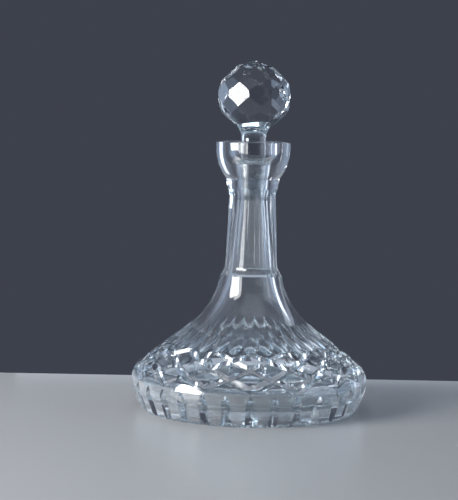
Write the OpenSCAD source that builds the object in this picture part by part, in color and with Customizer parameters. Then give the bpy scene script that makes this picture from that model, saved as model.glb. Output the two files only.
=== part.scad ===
// Ships decanter in hand-cut lead crystal, with a ground-in ball stopper.
// The foot stands on the plane z = 0, the axis of the glass is the z axis and the front is -Y.
// Lengths are in millimetres and angles in degrees.

/* [Body blank] */
// Largest diameter of the belly
body_d = 179; // [165:1:195]
// Height of the widest part of the belly above the table
belly_h = 21; // [20:0.5:24]
// Radius of the rounded belly
belly_round = 17; // [15:0.5:18]
// Diameter of the flat foot
foot_d = 163; // [150:1:165]
// Width of the bevel round the foot
foot_bevel_w = 2; // [1:0.25:3]
// Height of the bevel round the foot
foot_bevel_h = 2.5; // [1:0.25:3]
// Radius of the hollow sweep from the shoulder to the neck
shoulder_sweep = 58.5; // [52:0.5:62]
// Height at which the sweep turns upright
sweep_h = 110; // [105:1:116]
// Outside diameter of the uncut neck where the sweep turns upright
neck_base_d = 45.6; // [42:0.2:50]

/* [Collar and lip] */
// Outside diameter of the collar at the top of the neck
collar_d = 40.2; // [38:0.2:42]
// Height of the collar below the lip
collar_h = 9; // [6:0.5:12]
// How much narrower the collar is at its lower end
collar_taper = 1.2; // [0:0.1:2]
// Height of the rim above the table
rim_h = 202.4; // [196:0.2:212]
// Outside diameter of the lip
lip_d = 56.2; // [52:0.2:60]
// Radius of the curve under the lip
lip_curve = 36; // [32:1:44]
// Height of the upright band below the rim
lip_band = 5.4; // [3:0.2:8]
// Small bevel on the edges of the rim
rim_bevel = 0.8; // [0.4:0.1:1.2]
// Diameter of the pouring dish inside the lip
dish_d = 28.4; // [25:0.2:34]
// Radius of the rounded bottom of the pouring dish
dish_round = 7.6; // [7.4:0.1:9]

/* [Inside] */
// Thickness of the glass over the shoulder and belly
wall = 8.5; // [7:0.25:9]
// Thickness of the glass under the middle of the wine
floor_t = 7; // [6:0.25:9]
// Smallest diameter of the neck bore, just below the ground seat
bore_d = 15; // [13:0.2:15.2]

/* [Stopper fit] */
// Length of the ground peg
peg_l = 27; // [22:0.5:30]
// Diameter of the ground peg at its top
peg_top_d = 19.1; // [18.6:0.1:20]
// Diameter of the ground peg at its lower end
peg_tip_d = 15.6; // [15.4:0.1:17]
// Bevel round the lower end of the peg
peg_bevel = 0.8; // [0.4:0.1:1.2]
// Depth of the ground seat below the rim
seat_depth = 14.8; // [12:0.2:16]
// How far the ground seat runs on below the peg
seat_run = 2.5; // [1.5:0.5:4]
// Gap between the peg and its ground seat
seat_gap = 0.12; // [0.05:0.01:0.2]

/* [Stopper head] */
// Diameter of the stopper's shank
shank_d = 18.6; // [17:0.2:18.6]
// Height of the middle of the ball above the rim
ball_rise = 34.3; // [32:0.1:38]
// Distance across opposite flats at the middle of the ball
ball_flats = 52.4; // [50:0.2:56]
// How much further out the rows of flats next to the middle one stand
next_rows_out = 0.3; // [0:0.1:0.5]
// How much nearer the middle the top row of flats stands
top_row_in = 1.2; // [0.8:0.1:1.4]
// How much further out the lowest row of flats stands
low_row_out = 0.2; // [0:0.1:0.5]
// How far below level the lowest row of flats faces
low_row_tilt = 45; // [42:1:48]
// How much nearer the middle the plain cone under the ball stands
under_in = 0.2; // [0:0.1:0.6]
// How far below level the plain cone under the ball faces
under_tilt = 50; // [48:1:54]
// Height of the point on top of the ball above its middle
ball_point = 26; // [25:0.2:27]
// Radius of the hollow flare between shank and ball
flare = 13; // [10:0.5:17]
// Flats in each row round the ball
ball_facets = 10; // [8:2:12]
// Turn of the rows of flats from the front
facet_turn = 9; // [0:1:18]
// Tilt of the row of flats round the middle of the ball
facet_tilt = 3; // [0:0.5:6]
// Step from one row of flats to the next
facet_step = 21; // [19:0.5:22]

/* [Cut pattern] */
// Diamonds round the belly, which all the other cuts follow
diamonds = 16; // [14:1:18]
// Height of the lower points of the diamonds
diamond_low_h = 27.3; // [26:0.1:29]
// Height at which the diamond cuts cross in the middle of the band
diamond_mid_h = 40.5; // [39:0.1:42]
// Height of the upper points of the diamonds
diamond_top_h = 50.3; // [48:0.1:53]
// Depth of the mitre cuts of the diamonds
mitre_depth = 2.3; // [1.4:0.1:2.3]
// Depth of the upright mitre cuts below the diamonds
side_depth = 2.6; // [1.4:0.1:3]
// Angle across the upright mitre cuts
side_angle = 110; // [90:1:120]
// Height at which the neck flutes start to run out at their lower ends
neck_flute_low_h = 109.5; // [107:0.5:112]
// Height at which the neck flutes start to run out at their upper ends
neck_flute_top_h = 162; // [158:0.5:163]
// Distance across opposite neck flutes at their lower ends
neck_flats_low_d = 38.9; // [37:0.1:40]
// Distance across opposite neck flutes at their upper ends
neck_flats_top_d = 34.7; // [33:0.1:35.5]
// Slope of the run-outs of the neck flutes
neck_run_out = 60; // [45:1:65]
// Depth of the shoulder flutes
shoulder_flute_depth = 2.1; // [1.4:0.1:2.6]
// Radius across the shoulder flutes
shoulder_flute_round = 9; // [7:0.5:11]
// Radius of the wheel that cuts the shoulder flutes
shoulder_wheel = 46; // [40:0.5:48]
// Distance of the deepest part of a shoulder flute below the start of the sweep
shoulder_flute_place = 10; // [7:0.5:12]

/* [Hidden] */
$fn = 120;
crystal = [0.80, 0.86, 0.90, 0.45];
// Overlap that lets a cutter pass clear of the glass that it cuts
over = 2;
// Arcs stand this much proud of the lines that they touch, so that the two cross cleanly
weld = 0.004;

// Points and directions
function unit(v) = v / norm(v);
function polar(a) = [cos(a), sin(a)];
function heading(v) = atan2(v.y, v.x);
// Point where a line from p touches a circle, on the side given by turn
function touch(p, c, r, turn) = c + r * polar(heading(p - c) + turn * acos(r / norm(p - c)));
// Direction from c1 to where a line that crosses between two circles touches the first one
function cross_touch(c1, r1, c2, r2, turn) =
    polar(heading(c2 - c1) + turn * acos((r1 + r2) / norm(c2 - c1)));

// Outline of the blank: foot, belly round, straight shoulder, hollow sweep, neck, collar and lip
body_r = body_d / 2;
lip_r = lip_d / 2;
collar_r = collar_d / 2;
belly_c = [body_r - belly_round, belly_h];
sweep_c = [neck_base_d / 2 + shoulder_sweep, sweep_h];
shoulder_n = cross_touch(belly_c, belly_round, sweep_c, shoulder_sweep, -1);
foot_p = [foot_d / 2 + foot_bevel_w, foot_bevel_h];
side_p = touch(foot_p, belly_c, belly_round, 1);
shoulder_low_p = belly_c + belly_round * shoulder_n;
shoulder_top_p = sweep_c - shoulder_sweep * shoulder_n;
lip_turn_h = rim_h - lip_band;
lip_drop = sqrt(pow(lip_curve, 2) - pow(lip_curve - (lip_r - collar_r), 2));
collar_top_p = [collar_r, lip_turn_h - lip_drop];
collar_low_p = collar_top_p - [collar_taper, collar_h];
neck_low_p = touch(collar_low_p, sweep_c, shoulder_sweep, 1);

// Outline of the inside, parallel to the blank over the belly, shoulder and sweep
inner_belly_r = belly_round - wall;
inner_sweep_r = shoulder_sweep + wall;
inner_low_p = belly_c + inner_belly_r * shoulder_n;
inner_top_p = sweep_c - inner_sweep_r * shoulder_n;
// The floor is a shallow bowl, centred on the axis, that runs into the rounded belly
floor_gap = floor_t + inner_belly_r;
floor_c = [0, (belly_c * belly_c - pow(floor_gap, 2)) / (2 * (belly_h - floor_gap))];
floor_r = floor_c.y - floor_t;
floor_n = unit(belly_c - floor_c);
floor_edge_p = belly_c + inner_belly_r * floor_n;
floor_sides = 8 * $fn;

// Ground seat and peg share one cone, a gap apart
seat_top_h = rim_h - seat_depth;
peg_tip_h = seat_top_h - peg_l;
peg_slope = (peg_top_d - peg_tip_d) / 2 / peg_l;
seat_top_r = peg_top_d / 2 + seat_gap;
seat_low_h = peg_tip_h - seat_run;
seat_low_r = seat_top_r - peg_slope * (seat_top_h - seat_low_h);
bore_p = [min(bore_d / 2, seat_low_r), seat_low_h];
inner_neck_p = touch(bore_p, sweep_c, inner_sweep_r, 1);
dish_r = dish_d / 2;
dish_c_r = dish_r - dish_round;
dish_turn_h = seat_top_h + sqrt(pow(dish_round, 2) - pow(seat_top_r - dish_c_r, 2));

// Radius and outward direction of the uncut glass over the belly and straight shoulder
shoulder_run = shoulder_top_p - shoulder_low_p;
function blank_r(h) =
    h < shoulder_low_p.y
        ? belly_c.x + sqrt(pow(belly_round, 2) - pow(h - belly_h, 2))
        : shoulder_low_p.x + shoulder_run.x * (h - shoulder_low_p.y) / shoulder_run.y;
function blank_n(h) = h < shoulder_low_p.y ? unit([blank_r(h), h] - belly_c) : shoulder_n;
// A height and an angle from the front, taken to a point or direction in space
function around(p, a) = [p.x * sin(a), -p.x * cos(a), p.y];
function on_glass(h, a) = around([blank_r(h), h], a);

// Middle of the ball and the rows of flats ground on it
ball_h = rim_h + ball_rise;
flat_r = ball_flats / 2;
rows_low = -2;
rows_high = 2;
function row_tilt(row) = row == rows_low ? -low_row_tilt : facet_tilt + row * facet_step;
function row_r(row) =
    row == rows_low ? flat_r + low_row_out
        : row == rows_high ? flat_r - top_row_in
        : row == 0 ? flat_r : flat_r + next_rows_out;
crown_tilt = 72;
crown_r = ball_point * sin(crown_tilt);
// Glass left on the ball before it is ground, as a share of its size
ball_spare = 0.06;
blank_ball_r = (1 + ball_spare) * flat_r;

// Plain cone under the ball, and the hollow flare that leads from it into the shank
shank_r = shank_d / 2;
under_n = polar(-under_tilt);
under_r = flat_r - under_in;
function under_h(r) = ball_h + (under_r - under_n.x * r) / under_n.y;
flare_c = [shank_r + flare, under_h(shank_r + flare) + flare / under_n.y];
flare_in_p = flare_c - flare_c.x / under_n.x * under_n;

// Slice of a circle from one direction round to another, with a little more at each end
module slice(c, r, from, to) {
    more = 3;
    reach = 2 * r;
    intersection() {
        translate(c) circle(r + weld);
        polygon([
            c, c + reach * polar(from - more), c + 2 * reach * polar((from + to) / 2),
            c + reach * polar(to + more)
        ]);
    }
}

// Half section of the uncut glass
module blank_outline() {
    difference() {
        union() {
            polygon([
                [0, 0], [foot_d / 2, 0], foot_p, side_p, shoulder_low_p, shoulder_top_p,
                neck_low_p, collar_low_p, collar_top_p + [0, over], [0, collar_top_p.y + over]
            ]);
            slice(belly_c, belly_round, heading(side_p - belly_c), heading(shoulder_n));
        }
        slice(sweep_c, shoulder_sweep, heading(neck_low_p - sweep_c) + 360, heading(-shoulder_n) + 360);
    }
    intersection() {
        translate([lip_r - lip_curve, lip_turn_h]) circle(lip_curve);
        translate([0, collar_top_p.y - over]) square([lip_r + over, lip_drop + over]);
    }
    polygon([
        [0, lip_turn_h], [lip_r, lip_turn_h], [lip_r, rim_h - rim_bevel],
        [lip_r - rim_bevel, rim_h], [0, rim_h]
    ]);
}

// Half section of the wine's room, the neck bore, the ground seat and the pouring dish
module inside_outline() {
    intersection() {
        difference() {
            union() {
                polygon([
                    [0, 0], [floor_edge_p.x, 0], floor_edge_p, belly_c, inner_low_p, inner_top_p,
                    inner_neck_p, bore_p, [seat_low_r, seat_low_h], [seat_top_r, seat_top_h], [0, seat_top_h]
                ]);
                slice(belly_c, inner_belly_r, heading(floor_n), heading(shoulder_n));
            }
            slice(sweep_c, inner_sweep_r, heading(inner_neck_p - sweep_c) + 360, heading(-shoulder_n) + 360);
        }
        translate(floor_c) circle(floor_r, $fn = floor_sides);
    }
    intersection() {
        translate([dish_c_r, dish_turn_h]) circle(dish_round);
        translate([0, seat_top_h]) square([dish_r + over, dish_turn_h - seat_top_h]);
    }
    translate([0, seat_top_h]) square([dish_c_r, dish_turn_h - seat_top_h]);
    polygon([
        [0, dish_turn_h], [dish_r, dish_turn_h], [dish_r, rim_h - rim_bevel],
        [dish_r + rim_bevel, rim_h], [dish_r + rim_bevel, rim_h + over], [0, rim_h + over]
    ]);
}

// Section of a mitre cut, with its floor at depth below the start and its mouth clear of the glass
module mitre(start, out, depth, angle) {
    side = [-out.y, out.x];
    half = (depth + over) * tan(angle / 2);
    polygon([start - depth * out, start + over * out + half * side, start + over * out - half * side]);
}

// One diamond cut: the square edge of a wheel, run along the circle through three points of the glass
module diamond_cut() {
    pitch = 360 / diamonds;
    low = on_glass(diamond_low_h, 0);
    mid = on_glass(diamond_mid_h, pitch);
    top = on_glass(diamond_top_h, 2 * pitch);
    u = mid - low;
    v = top - low;
    w = cross(u, v);
    centre = low + ((u * u) * cross(v, w) + (v * v) * cross(w, u)) / (2 * w * w);
    ex = unit(low - centre);
    ez = unit(w);
    ey = cross(ez, ex);
    arc = atan2((top - centre) * ey, (top - centre) * ex);
    run_r = norm(low - centre);
    run_out = over / 2 / run_r * 180 / PI;
    glass_n = around(blank_n(diamond_mid_h), pitch);
    out = unit([glass_n * unit(mid - centre), glass_n * ez]);
    multmatrix([
        [ex.x, ey.x, ez.x, centre.x],
        [ex.y, ey.y, ez.y, centre.y],
        [ex.z, ey.z, ez.z, centre.z],
        [0, 0, 0, 1]
    ])
        rotate([0, 0, -run_out])
        rotate_extrude(angle = arc + 2 * run_out)
        translate([run_r, 0] - mitre_depth * out)
        square(sqrt(2) * (mitre_depth + over / 2));
}

// Copies of one cutter all round the axis, starting at the front and taking every second place
module every_second(count, first) {
    for (i = [first : 2 : count - 1])
        rotate([0, 0, i * 360 / count]) children();
}

// Glass with a cutter taken all round it, the even places first and then the odd ones between them
module cut_round(count) {
    difference() {
        difference() {
            children(0);
            every_second(count, 0) children(1);
        }
        every_second(count, 1) children(1);
    }
}

// Glass with two slants of crossing cuts that leave the diamonds standing
module cut_diamonds() {
    pitch = 360 / diamonds;
    difference() {
        difference() {
            children();
            for (i = [0 : diamonds - 1])
                rotate([0, 0, i * pitch]) diamond_cut();
        }
        for (i = [0 : diamonds - 1])
            rotate([0, 0, i * pitch]) mirror([1, 0, 0]) diamond_cut();
    }
}

// Upright mitre cut from the foot to a point on the belly
module side_cut() {
    lean = 90 - heading(side_p - foot_p);
    length = norm(side_p - foot_p) + belly_round;
    rotate([0, 0, -90])
    translate([foot_p.x, 0, foot_p.y])
    rotate([0, lean, 0])
    translate([0, 0, -foot_p.y - over])
    linear_extrude(length)
    mitre([0, 0], [1, 0], side_depth, side_angle);
}

// Flat flute down the neck, with a sloping run-out at each end
module neck_flute() {
    low = [neck_flats_low_d / 2, neck_flute_low_h];
    top = [neck_flats_top_d / 2, neck_flute_top_h];
    reach = (neck_low_p.x - top.x + over) / cos(neck_run_out);
    spread = 1.4;
    width = spread * neck_flats_low_d * tan(180 / diamonds);
    rotate([0, 0, -90])
    translate([0, width / 2, 0])
    rotate([90, 0, 0])
    linear_extrude(width)
    polygon([low, low + reach * polar(-neck_run_out), top + reach * polar(neck_run_out), top]);
}

// Lancet flute on the shoulder, one plunge of a round-edged wheel
module shoulder_flute() {
    down = -unit(shoulder_run);
    floor_mid = shoulder_top_p + shoulder_flute_place * down - shoulder_flute_depth * shoulder_n;
    hub = floor_mid + shoulder_wheel * shoulder_n;
    rim = shoulder_flute_depth + over / 2;
    sector = 100;
    rotate([0, 0, -90])
    translate([hub.x, 0, hub.y])
    rotate([90, 0, 0])
    rotate([0, 0, 180 + heading(shoulder_n) - sector / 2])
    rotate_extrude(angle = sector)
    intersection() {
        translate([shoulder_wheel - shoulder_flute_round, 0]) circle(shoulder_flute_round);
        translate([shoulder_wheel - rim, -shoulder_flute_round])
            square([rim + over, 2 * shoulder_flute_round]);
    }
}

// Blown glass before it is cut
module blank() {
    rotate_extrude()
    difference() {
        blank_outline();
        inside_outline();
    }
}

// Thick crystal vessel, blown, cut on the wheel and ground for its stopper
module decanter_body() {
    color(crystal)
    cut_round(2 * diamonds) {
        cut_round(2 * diamonds) {
            cut_round(diamonds) {
                cut_diamonds() blank();
                neck_flute();
            }
            shoulder_flute();
        }
        side_cut();
    }
}

// Half section of the uncut stopper: ball, cone under it, flare, shank and ground peg
module stopper_outline() {
    intersection() {
        translate([0, ball_h]) circle(blank_ball_r);
        polygon([
            [0, under_h(0)], [body_r, under_h(body_r)], [body_r, ball_h + body_r], [0, ball_h + body_r]
        ]);
    }
    difference() {
        polygon([[0, flare_c.y], flare_c, flare_in_p]);
        translate(flare_c) circle(flare + weld);
    }
    polygon([
        [0, peg_tip_h], [peg_tip_d / 2 - peg_bevel, peg_tip_h],
        [peg_tip_d / 2 + peg_slope * peg_bevel, peg_tip_h + peg_bevel], [peg_top_d / 2, seat_top_h],
        [shank_r, seat_top_h], [shank_r, flare_c.y + over / 2], [0, flare_c.y + over / 2]
    ]);
}

// One flat ground on the ball, square to the direction given by tilt and turn
module flat_cut(tilt, turn, r) {
    size = 2 * sqrt(pow(blank_ball_r, 2) - pow(r, 2)) + over;
    translate([0, 0, ball_h])
    rotate([0, 0, facet_turn + turn - 90])
    rotate([0, -tilt, 0])
    translate([r, -size / 2, -size / 2])
    cube(size);
}

// Solid stopper, turned in one piece and ground into staggered rows of flats that meet at a point on top
module ball_stopper() {
    color(crystal)
    difference() {
        rotate_extrude() stopper_outline();
        for (row = [rows_low : rows_high])
            for (i = [0 : ball_facets - 1])
                flat_cut(row_tilt(row), (i + row / 2) * 360 / ball_facets, row_r(row));
        for (i = [0 : ball_facets / 2 - 1])
            flat_cut(crown_tilt, i * 720 / ball_facets, crown_r);
    }
}

decanter_body();
ball_stopper();
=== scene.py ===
from math import acos, atan2, ceil, cos, pi, radians, sin, sqrt, tan

import bmesh
import bpy
from mathutils import Matrix, Vector


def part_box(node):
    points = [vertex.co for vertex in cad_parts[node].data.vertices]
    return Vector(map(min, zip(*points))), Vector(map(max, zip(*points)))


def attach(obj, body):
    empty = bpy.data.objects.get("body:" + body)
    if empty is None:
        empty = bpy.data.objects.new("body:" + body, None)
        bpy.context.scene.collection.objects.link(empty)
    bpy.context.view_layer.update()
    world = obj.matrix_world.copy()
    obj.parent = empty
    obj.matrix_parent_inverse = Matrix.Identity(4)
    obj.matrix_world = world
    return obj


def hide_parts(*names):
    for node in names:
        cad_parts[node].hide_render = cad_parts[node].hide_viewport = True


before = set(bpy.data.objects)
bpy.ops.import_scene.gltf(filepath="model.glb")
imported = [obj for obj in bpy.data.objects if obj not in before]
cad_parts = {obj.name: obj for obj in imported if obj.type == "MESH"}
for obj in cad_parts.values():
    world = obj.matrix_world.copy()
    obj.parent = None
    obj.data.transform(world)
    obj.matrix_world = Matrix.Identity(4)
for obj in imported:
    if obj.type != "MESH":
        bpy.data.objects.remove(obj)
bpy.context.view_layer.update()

# Decanter body: outline
# One thick piece of mouth-blown lead crystal, from its flat foot to its pouring lip. Belly, shoulder and
# neck flow into each other in arcs, and the lip flares out above a short plain collar.
body_low, body_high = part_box("decanter_body")
body_r = (body_high[0] - body_low[0]) / 2
rim_h = body_high[2]
belly_h = 0.021
belly_round = 0.017
foot_r = 0.0815
foot_bevel_w = 0.002
foot_bevel_h = 0.0025
shoulder_sweep = 0.0585
sweep_h = 0.110
neck_base_r = 0.0228
collar_r = 0.0201
collar_h = 0.009
collar_taper = 0.0012
lip_r = 0.0281
lip_curve = 0.036
lip_band = 0.0054
rim_round = 0.0009
dish_r = 0.0142
dish_round = 0.0076
wall = 0.0085
floor_t = 0.007
bore_r = 0.0075
peg_l = 0.027
peg_top_r = 0.00955
peg_tip_r = 0.0078
seat_depth = 0.0148
seat_run = 0.0025
seat_gap = 0.00012
scuff_top = radians(15)
body_turns = 384


def polar(angle):
    return Vector((cos(angle), sin(angle)))


def heading(v):
    return atan2(v.y, v.x)


def touch(point, centre, radius, turn):
    """Where a line from the point touches the circle, on the side given by turn."""
    away = point - centre
    return centre + radius * polar(heading(away) + turn * acos(radius / away.length))


def arc(centre, radius, start, end, step=radians(2)):
    count = max(4, ceil(abs(end - start) / step))
    return [centre + radius * polar(start + (end - start) * i / count) for i in range(count + 1)]


def straight(start, end, step=0.0025):
    count = max(1, ceil((end - start).length / step))
    return [start.lerp(end, i / count) for i in range(count + 1)]


belly_c = Vector((body_r - belly_round, belly_h))
sweep_c = Vector((neck_base_r + shoulder_sweep, sweep_h))
between = sweep_c - belly_c
shoulder_n = polar(heading(between) - acos((belly_round + shoulder_sweep) / between.length))
foot_p = Vector((foot_r + foot_bevel_w, foot_bevel_h))
side_p = touch(foot_p, belly_c, belly_round, 1)
shoulder_low = belly_c + belly_round * shoulder_n
shoulder_top = sweep_c - shoulder_sweep * shoulder_n
lip_c = Vector((lip_r - lip_curve, rim_h - lip_band))
lip_drop = sqrt(lip_curve ** 2 - (collar_r - lip_c.x) ** 2)
collar_top = Vector((collar_r, lip_c.y - lip_drop))
collar_low = collar_top - Vector((collar_taper, collar_h))
neck_low = touch(collar_low, sweep_c, shoulder_sweep, 1)
peg_slope = (peg_top_r - peg_tip_r) / peg_l
seat_top = Vector((peg_top_r + seat_gap, rim_h - seat_depth))
seat_low_h = seat_top.y - peg_l - seat_run
seat_low = Vector((seat_top.x - peg_slope * (seat_top.y - seat_low_h), seat_low_h))
bore_p = Vector((min(bore_r, seat_low.x), seat_low_h))
inner_belly = belly_round - wall
inner_sweep = shoulder_sweep + wall
inner_neck = touch(bore_p, sweep_c, inner_sweep, 1)
floor_gap = floor_t + inner_belly
floor_c = Vector((0, (belly_c.length_squared - floor_gap ** 2) / (2 * (belly_h - floor_gap))))
floor_round = floor_c.y - floor_t
dish_in = dish_r - dish_round
dish_c = Vector((dish_in, seat_top.y + sqrt(dish_round ** 2 - (seat_top.x - dish_in) ** 2)))

foot = straight(Vector((0, 0)), Vector((foot_r, 0)), 0.01)
side = straight(foot_p, side_p) + arc(belly_c, belly_round, heading(side_p - belly_c), scuff_top)
outside = (
    arc(belly_c, belly_round, scuff_top, heading(shoulder_n))
    + straight(shoulder_low, shoulder_top)
    + arc(sweep_c, shoulder_sweep, heading(-shoulder_n), heading(neck_low - sweep_c))
    + straight(neck_low, collar_low)
    + straight(collar_low, collar_top)
    + arc(lip_c, lip_curve, heading(collar_top - lip_c), 0)
    + arc(Vector((lip_r - rim_round, rim_h - rim_round)), rim_round, 0, pi / 2, radians(15))
    + arc(Vector((dish_r + rim_round, rim_h - rim_round)), rim_round, pi / 2, pi, radians(15))
    + arc(dish_c, dish_round, 0, heading(seat_top - dish_c), radians(4))
)
seat = straight(seat_top, seat_low)
bore = straight(bore_p, inner_neck)
throat = arc(sweep_c, inner_sweep, heading(inner_neck - sweep_c), heading(-shoulder_n))
inside = (
    straight(sweep_c - inner_sweep * shoulder_n, belly_c + inner_belly * shoulder_n)
    + arc(belly_c, inner_belly, heading(shoulder_n), heading(belly_c - floor_c))
    + arc(floor_c, floor_round, heading(belly_c - floor_c), -pi / 2, radians(0.3))
)
POLISHED, CUT, GROUND, WORN, SCUFFED, BLOOMED, CLOUDED = range(7)


def revolve(mesh, runs, turns):
    """Turns the runs of outline points, each with its finish, round the axis into a closed mesh."""
    hair = 1e-7
    rows = []
    for points, finish in runs:
        for p in points:
            if rows and (p - rows[-1][0]).length < hair:
                rows[-1] = (rows[-1][0], finish)
            else:
                rows.append((p, finish))
    work = bmesh.new()
    rings = []
    for p, finish in rows:
        count = turns if p.x > hair else 1
        ring = []
        for i in range(count):
            turn = 2 * pi * i / count
            ring.append(work.verts.new((p.x * sin(turn), -p.x * cos(turn), p.y)))
        rings.append(ring)
    for (_, finish), low, high in zip(rows, rings, rings[1:]):
        for i in range(turns):
            j = (i + 1) % turns
            corners = [low[i % len(low)], low[j % len(low)], high[j % len(high)], high[i % len(high)]]
            face = work.faces.new(dict.fromkeys(corners))
            face.material_index = finish
    bmesh.ops.recalc_face_normals(work, faces=work.faces)
    work.to_mesh(mesh)
    work.free()


body = bpy.data.objects.new("crystal_body", bpy.data.meshes.new("crystal_body"))
bpy.context.scene.collection.objects.link(body)
runs = [
    (foot, WORN),
    (side, SCUFFED),
    (outside, POLISHED),
    (seat, GROUND),
    (bore, CLOUDED),
    (throat, BLOOMED),
    (inside, POLISHED),
]
revolve(body.data, runs, body_turns)

# Decanter body: cut pattern
# Mitre cuts cross over the belly and leave diamonds standing, with upright cuts below and a ring of lancet
# flutes above. Flat flutes run down the neck. Each cut is a pass of a stone wheel, polished afterwards.
diamonds = 16
pitch = 2 * pi / diamonds
over = 0.002
diamond_low_h = 0.0273
diamond_mid_h = 0.0405
diamond_top_h = 0.0503
mitre_depth = 0.0026
side_depth = 0.0026
side_angle = radians(110)
neck_flute_low = Vector((0.0195, 0.110))
neck_flute_top = Vector((0.01745, 0.1605))
neck_wheel = 0.012
neck_wheel_sector = radians(60)
neck_spread = 1.4
lancet_depth = 0.0021
lancet_round = 0.009
lancet_wheel = 0.046
lancet_place = 0.010


def around(p, turn):
    return Vector((p.x * sin(turn), -p.x * cos(turn), p.y))


def on_glass(h):
    """Point of the outline before cutting at a height on the belly or the straight shoulder."""
    if h < shoulder_low.y:
        return Vector((belly_c.x + sqrt(belly_round ** 2 - (h - belly_h) ** 2), h))
    return shoulder_low.lerp(shoulder_top, (h - shoulder_low.y) / (shoulder_top.y - shoulder_low.y))


def diamond_cut():
    """Rings of points along a square-edged wheel's run through three points of the glass."""
    low = around(on_glass(diamond_low_h), 0)
    mid = around(on_glass(diamond_mid_h), pitch)
    top = around(on_glass(diamond_top_h), 2 * pitch)
    u = mid - low
    v = top - low
    w = u.cross(v)
    centre = low + (u.length_squared * v.cross(w) + v.length_squared * w.cross(u)) / (2 * w.length_squared)
    ex = (low - centre).normalized()
    ez = w.normalized()
    ey = ez.cross(ex)
    run_r = (low - centre).length
    run_out = over / 2 / run_r
    sweep = atan2((top - centre).dot(ey), (top - centre).dot(ex))
    glass_n = around(shoulder_n, pitch)
    out = Vector((glass_n.dot((mid - centre).normalized()), glass_n.dot(ez))).normalized()
    corner = Vector((run_r, 0)) - mitre_depth * out
    size = sqrt(2) * (mitre_depth + over / 2)
    section = [corner + size * Vector(p) for p in ((0, 0), (1, 0), (1, 1), (0, 1))]
    steps = 48
    rings = []
    for i in range(steps + 1):
        a = -run_out + (sweep + 2 * run_out) * i / steps
        rings.append([centre + p.x * (cos(a) * ex + sin(a) * ey) + p.y * ez for p in section])
    return rings


def across(outline, width):
    """Two rings of points: an upright outline through the axis at the front, moved to each side."""
    return [[Vector((x, -p.x, p.y)) for p in outline] for x in (-width / 2, width / 2)]


def neck_flute():
    """Run of a flat-edged wheel along the neck, with its own round at each end."""
    run = (neck_flute_top - neck_flute_low).normalized()
    out = Vector((run.y, -run.x))
    start = heading(-out) % (2 * pi)
    low = arc(neck_flute_low + neck_wheel * out, neck_wheel, start + neck_wheel_sector, start)
    top = arc(neck_flute_top + neck_wheel * out, neck_wheel, start, start - neck_wheel_sector)
    width = 2 * neck_spread * neck_flute_low.x * tan(pitch / 2)
    return across(low + top, width)


def lancet():
    """Plunge of a round-edged wheel into the shoulder."""
    down = (shoulder_low - shoulder_top).normalized()
    hub = shoulder_top + lancet_place * down + (lancet_wheel - lancet_depth) * shoulder_n
    half = acos(1 - (lancet_depth + over / 2) / lancet_round)
    half_steps = 12
    edge = []
    for i in range(2 * half_steps + 1):
        t = -half + half * i / half_steps
        edge.append((lancet_wheel - lancet_round + lancet_round * cos(t), lancet_round * sin(t)))
    sector = 100
    steps = 60
    rings = []
    for i in range(steps + 1):
        spoke = polar(heading(-shoulder_n) + radians(-sector / 2 + sector * i / steps))
        ring = []
        for d, x in edge:
            p = hub + d * spoke
            ring.append(Vector((x, -p.x, p.y)))
        rings.append(ring)
    return rings


def side_cut():
    """Upright mitre cut that runs out through the foot and to a point on the belly."""
    run = (side_p - foot_p).normalized()
    out = Vector((run.y, -run.x))
    half = (side_depth + over) * tan(side_angle / 2)
    section = [(-side_depth, 0), (over, half), (over, -half)]
    rings = []
    for t in (-foot_p.y - over, (side_p - foot_p).length + belly_round - foot_p.y - over):
        ring = []
        for d, x in section:
            p = foot_p + t * run + d * out
            ring.append(Vector((x, -p.x, p.y)))
        rings.append(ring)
    return rings


def tool(name, solids, finish):
    """One object that holds several closed solids, each lofted through its rings of points."""
    work = bmesh.new()
    for rings in solids:
        rows = [[work.verts.new(p) for p in ring] for ring in rings]
        for low, high in zip(rows, rows[1:]):
            for i in range(len(low)):
                work.faces.new((low[i - 1], low[i], high[i], high[i - 1]))
        work.faces.new(rows[0])
        work.faces.new(rows[-1])
    for face in work.faces:
        face.material_index = finish
    bmesh.ops.recalc_face_normals(work, faces=work.faces)
    mesh = bpy.data.meshes.new(name)
    work.to_mesh(mesh)
    work.free()
    shape = bpy.data.objects.new(name, mesh)
    bpy.context.scene.collection.objects.link(shape)
    return shape


def placed(rings, turn, mirrored=False):
    move = Matrix.Rotation(turn, 3, "Z")
    if mirrored:
        move = move @ Matrix.Scale(-1, 3, Vector((1, 0, 0)))
    return [[move @ p for p in ring] for ring in rings]


def every_second(rings, count, first):
    return [placed(rings, 2 * pi * i / count) for i in range(first, count, 2)]


def combine(piece, tools, operation):
    """Applies the tools one after another and takes them out of the scene."""
    for shape in tools:
        for material in piece.data.materials:
            shape.data.materials.append(material)
        step = piece.modifiers.new(shape.name, "BOOLEAN")
        step.operation = operation
        step.solver = "MANIFOLD"
        step.object = shape
    whole = piece.evaluated_get(bpy.context.evaluated_depsgraph_get())
    mesh = bpy.data.meshes.new_from_object(whole)
    piece.modifiers.clear()
    old = piece.data
    piece.data = mesh
    mesh.name = piece.name
    bpy.data.meshes.remove(old)
    for shape in tools:
        bpy.data.meshes.remove(shape.data)


def crease(piece, angle):
    """Smooth curves, with every arris sharper than the angle left crisp."""
    piece.data.shade_smooth()
    piece.data.set_sharp_from_angle(angle=angle)
    weighted = piece.modifiers.new("even_normals", "WEIGHTED_NORMAL")
    weighted.keep_sharp = True


# Crystal finishes
# Clear lead crystal bends light strongly and has a faint cool tint in thick places. Blown faces ripple a
# little, cut faces keep fine marks of the wheel, and the seat and peg are ground. Use has worn the underside,
# scuffed the lower side and left a bloom inside, which is thickest in the neck.
crystal_ior = 1.545


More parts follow.
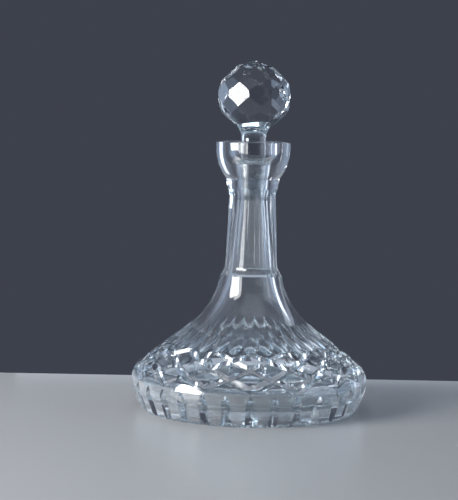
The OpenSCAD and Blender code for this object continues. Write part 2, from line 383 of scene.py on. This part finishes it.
def polish_group():
    group = bpy.data.node_groups.new("polish_and_ripple", "ShaderNodeTree")
    defaults = {"Ripple Scale": 60.0, "Ripple Height": 0.00001, "Haze": 0.01, "Mark Scale": 900.0}
    for name, default in defaults.items():
        socket = group.interface.new_socket(name, in_out="INPUT", socket_type="NodeSocketFloat")
        socket.default_value = default
    group.interface.new_socket("Roughness", in_out="OUTPUT", socket_type="NodeSocketFloat")
    group.interface.new_socket("Normal", in_out="OUTPUT", socket_type="NodeSocketVector")
    nodes = group.nodes
    inputs = nodes.new("NodeGroupInput")
    outputs = nodes.new("NodeGroupOutput")
    place = nodes.new("ShaderNodeTexCoord")
    ripple = nodes.new("ShaderNodeTexNoise")
    ripple.inputs["Detail"].default_value = 1.0
    marks = nodes.new("ShaderNodeTexNoise")
    marks.inputs["Detail"].default_value = 3.0
    bump = nodes.new("ShaderNodeBump")
    haze = nodes.new("ShaderNodeMath")
    haze.operation = "MULTIPLY"
    links = group.links
    links.new(place.outputs["Object"], ripple.inputs["Vector"])
    links.new(inputs.outputs["Ripple Scale"], ripple.inputs["Scale"])
    links.new(ripple.outputs["Fac"], bump.inputs["Height"])
    links.new(inputs.outputs["Ripple Height"], bump.inputs["Distance"])
    links.new(place.outputs["Object"], marks.inputs["Vector"])
    links.new(inputs.outputs["Mark Scale"], marks.inputs["Scale"])
    links.new(marks.outputs["Fac"], haze.inputs[0])
    links.new(inputs.outputs["Haze"], haze.inputs[1])
    links.new(haze.outputs["Value"], outputs.inputs["Roughness"])
    links.new(bump.outputs["Normal"], outputs.inputs["Normal"])
    return group


polish = polish_group()


def crystal(name, ripple_scale, ripple_height, haze, clear=1.0):
    """One finish of the crystal, where clear is the share of the light that isn't held by wear or bloom."""
    material = bpy.data.materials.new(name)
    material.use_nodes = True
    nodes = material.node_tree.nodes
    links = material.node_tree.links
    glass = nodes["Principled BSDF"]
    glass.inputs["Base Color"].default_value = (0.99, 0.995, 1.0, 1.0)
    glass.inputs["Transmission Weight"].default_value = clear
    glass.inputs["IOR"].default_value = crystal_ior
    surface = nodes.new("ShaderNodeGroup")
    surface.node_tree = polish
    surface.inputs["Ripple Scale"].default_value = ripple_scale
    surface.inputs["Ripple Height"].default_value = ripple_height
    surface.inputs["Haze"].default_value = haze
    links.new(surface.outputs["Roughness"], glass.inputs["Roughness"])
    links.new(surface.outputs["Normal"], glass.inputs["Normal"])
    depth = nodes.new("ShaderNodeVolumeAbsorption")
    depth.inputs["Color"].default_value = (0.70, 0.86, 0.94, 1.0)
    depth.inputs["Density"].default_value = 0.6
    links.new(depth.outputs["Volume"], nodes["Material Output"].inputs["Volume"])
    return material


finishes = [
    crystal("blown_crystal", 55.0, 0.00002, 0.01),
    crystal("cut_crystal", 160.0, 0.000006, 0.02),
    crystal("ground_crystal", 1500.0, 0.000003, 0.4),
    crystal("worn_crystal", 900.0, 0.000008, 0.5, 0.95),
    crystal("scuffed_crystal", 140.0, 0.00001, 0.05, 0.88),
    crystal("bloomed_crystal", 55.0, 0.00002, 0.02, 0.955),
    crystal("clouded_crystal", 55.0, 0.00002, 0.02, 0.9),
]
for finish in finishes:
    body.data.materials.append(finish)

diamond_rings = diamond_cut()
tools = []
for first in (0, 1):
    tools.append(tool(f"neck_flutes_{first}", every_second(neck_flute(), diamonds, first), CUT))
for mirrored in (False, True):
    slant = [placed(diamond_rings, i * pitch, mirrored) for i in range(diamonds)]
    tools.append(tool(f"diamond_cuts_{mirrored}", slant, CUT))
for first in (0, 1):
    tools.append(tool(f"lancets_{first}", every_second(lancet(), 2 * diamonds, first), CUT))
for first in (0, 1):
    tools.append(tool(f"side_cuts_{first}", every_second(side_cut(), 2 * diamonds, first), CUT))
combine(body, tools, "DIFFERENCE")
crease(body, radians(12))
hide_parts("decanter_body")
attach(body, "vessel")

# Ball stopper
# Solid ball of the same crystal, ground into staggered rows of flats that meet at a low point on top. A
# plain cone and a hollow flare lead down into the shank, which ends in a slightly conical peg that is ground
# to fit the neck.
stopper_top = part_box("ball_stopper")[1][2]
stopper_turns = 192
ball_point = 0.026
ball_c = Vector((0, stopper_top - ball_point))
blank_ball_r = 0.02777
ball_facets = 10
facet_turn = radians(9)
# Each row of flats: its number from the middle, its tilt in degrees and its distance from the ball's centre
facet_rows = ((-2, -45, 0.0264), (-1, -18, 0.0265), (0, 3, 0.0262), (1, 24, 0.0265), (2, 45, 0.0250))
crown_tilt = radians(72)
under_n = polar(radians(-50))
under_r = 0.0260
shank_r = 0.0093
flare = 0.013
peg_bevel = 0.0008

peg_tip_h = seat_top.y - peg_l
peg_low = Vector((peg_tip_r + peg_slope * peg_bevel, peg_tip_h + peg_bevel))
flare_x = shank_r + flare
flare_c = ball_c + Vector((flare_x, (under_r + flare - under_n.x * flare_x) / under_n.y))
under_top = heading(under_n) + acos(under_r / blank_ball_r)
tip = straight(Vector((0, peg_tip_h)), Vector((peg_tip_r - peg_bevel, peg_tip_h)), 0.002)
peg = straight(peg_low, Vector((peg_top_r, seat_top.y)))
head = (
    straight(Vector((shank_r, seat_top.y)), Vector((shank_r, flare_c.y)))
    + arc(flare_c, flare, pi, heading(-under_n))
    + straight(flare_c - flare * under_n, ball_c + blank_ball_r * polar(under_top))
    + arc(ball_c, blank_ball_r, under_top, pi / 2)
)


def flat_cut(tilt, turn, distance):
    """Two rings of points: a block that takes one flat off the ball."""
    half = sqrt(blank_ball_r ** 2 - distance ** 2) + over / 2
    out = around(polar(tilt), turn)
    side = Vector((cos(turn), sin(turn), 0))
    up = out.cross(side)
    middle = Vector((0, 0, ball_c.y))
    rings = []
    for d in (distance, distance + half):
        rings.append([
            middle + d * out + half * (a * side + b * up) for a, b in ((-1, -1), (1, -1), (1, 1), (-1, 1))
        ])
    return rings


stopper = bpy.data.objects.new("crystal_stopper", bpy.data.meshes.new("crystal_stopper"))
bpy.context.scene.collection.objects.link(stopper)
revolve(stopper.data, [(tip, POLISHED), (peg, GROUND), (head, POLISHED)], stopper_turns)
for finish in finishes:
    stopper.data.materials.append(finish)
tools = []
for row, tilt, distance in facet_rows:
    for i in range(ball_facets):
        turn = facet_turn + (i + row / 2) * 2 * pi / ball_facets
        tools.append(tool(f"flat_{row}_{i}", [flat_cut(radians(tilt), turn, distance)], CUT))
for i in range(ball_facets // 2):
    turn = facet_turn + i * 4 * pi / ball_facets
    tools.append(tool(f"crown_flat_{i}", [flat_cut(crown_tilt, turn, ball_point * sin(crown_tilt))], CUT))
combine(stopper, tools, "DIFFERENCE")
crease(stopper, radians(12))
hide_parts("ball_stopper")
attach(stopper, "stopper")

# Table
# A plain table top in a pale satin finish, a hair below the foot so that the two do not fight.
table_w = 0.9
table_front = -0.42
table_back = 0.13
table_drop = 0.0001
top = bmesh.new()
corners = []
for x, y in ((-1, table_front), (1, table_front), (1, table_back), (-1, table_back)):
    corners.append(top.verts.new((x * table_w / 2, y, -table_drop)))
top.faces.new(corners)
table_mesh = bpy.data.meshes.new("table")
top.to_mesh(table_mesh)
top.free()
table = bpy.data.objects.new("table", table_mesh)
bpy.context.scene.collection.objects.link(table)
satin = bpy.data.materials.new("pale_satin")
satin.use_nodes = True
satin_paint = satin.node_tree.nodes["Principled BSDF"]
satin_paint.inputs["Base Color"].default_value = (0.40, 0.405, 0.41, 1.0)
satin_paint.inputs["Roughness"].default_value = 0.30
table.data.materials.append(satin)

# Studio light
# Dark grey surroundings with paler walls at the sides, and one bright window-like softbox at the left. Dim
# ones stand in front, above and at the right, a lamp hangs high behind, a low card lights the foot from
# behind, and a narrow strip at the right rear draws the far edge of the glass.
studio = bpy.data.worlds.new("studio")
studio.use_nodes = True
sky = studio.node_tree
place = sky.nodes.new("ShaderNodeTexCoord")
parts = sky.nodes.new("ShaderNodeSeparateXYZ")
shade = sky.nodes.new("ShaderNodeMapRange")
shade.interpolation_type = "SMOOTHSTEP"
shade.inputs["From Min"].default_value = 0.1
shade.inputs["From Max"].default_value = 0.8
grey = sky.nodes.new("ShaderNodeMix")
grey.data_type = "RGBA"
grey.inputs["A"].default_value = (0.018, 0.019, 0.023, 1.0)
grey.inputs["B"].default_value = (0.047, 0.053, 0.072, 1.0)
spread = sky.nodes.new("ShaderNodeMath")
spread.operation = "ABSOLUTE"
sides = sky.nodes.new("ShaderNodeMapRange")
sides.interpolation_type = "SMOOTHSTEP"
sides.inputs["From Min"].default_value = 0.4
sides.inputs["From Max"].default_value = 0.95
walls = sky.nodes.new("ShaderNodeMix")
walls.data_type = "RGBA"
walls.inputs["B"].default_value = (0.29, 0.36, 0.48, 1.0)
sky.links.new(place.outputs["Generated"], parts.inputs["Vector"])
sky.links.new(parts.outputs["Y"], shade.inputs["Value"])
sky.links.new(shade.outputs["Result"], grey.inputs["Factor"])
sky.links.new(parts.outputs["X"], spread.inputs[0])
sky.links.new(spread.outputs["Value"], sides.inputs["Value"])
sky.links.new(sides.outputs["Result"], walls.inputs["Factor"])
sky.links.new(grey.outputs["Result"], walls.inputs["A"])
sky.links.new(walls.outputs["Result"], sky.nodes["Background"].inputs["Color"])
bpy.context.scene.world = studio
light_aim = Vector((0, 0, 0.12))
cool = (0.82, 0.91, 1.05)
neutral = (1.0, 1.0, 1.0)


def softbox(name, azimuth, elevation, distance, width, height, radiance, colour=cool):
    """Area light in a direction from the object: azimuth 0 is the front, and to the left is negative."""
    side = cos(radians(elevation))
    direction = Vector((side * sin(radians(azimuth)), -side * cos(radians(azimuth)), sin(radians(elevation))))
    data = bpy.data.lights.new(name, "AREA")
    data.shape = "RECTANGLE"
    data.size = width
    data.size_y = height
    data.energy = radiance * pi * width * height
    data.color = colour
    lamp = bpy.data.objects.new(name, data)
    lamp.location = light_aim + distance * direction
    lamp.rotation_euler = direction.to_track_quat("Z", "Y").to_euler()
    lamp.visible_camera = False
    bpy.context.scene.collection.objects.link(lamp)
    return lamp


softbox("window", -60, 15, 1.3, 0.66, 0.76, 20, neutral)
softbox("front_fill", 10, 50, 2.5, 2.6, 1.6, 0.5)
softbox("ceiling", -20, 85, 2.0, 3.4, 3.4, 0.25)
softbox("right_wall", 75, 12, 2.2, 1.2, 1.6, 1.5)
softbox("low_card", 180, -36, 0.2, 0.4, 0.03, 0.5)
softbox("top_light", 180, 63, 1.6, 0.7, 0.7, 3)
softbox("rear_strip", 128, 15, 2.0, 0.4, 1.6, 1.5)

# Camera
# A long lens a little above the lip, tilted down and slightly rolled as the photograph was taken.
photo_height = 500
focal_px = 1624
camera_data = bpy.data.cameras.new("camera")
camera_data.sensor_width = 36
camera_data.lens = focal_px / photo_height * camera_data.sensor_width
camera_place = (-0.017, -1.226, 0.2353)
camera_tilt = radians(5.381)
camera_roll = radians(1.077)
camera = bpy.data.objects.new("camera", camera_data)
camera.matrix_world = (
    Matrix.Translation(camera_place)
    @ Matrix.Rotation(pi / 2 - camera_tilt, 4, "X")
    @ Matrix.Rotation(camera_roll, 4, "Z")
)
bpy.context.scene.collection.objects.link(camera)
bpy.context.scene.camera = camera

# Light paths
# Thick cut glass needs many bounces before the light that it bends comes out again.
cycles = bpy.context.scene.cycles
cycles.max_bounces = 32
cycles.transmission_bounces = 32
cycles.glossy_bounces = 16
cycles.use_denoising = True
bpy.context.scene.view_settings.view_transform = "Standard"
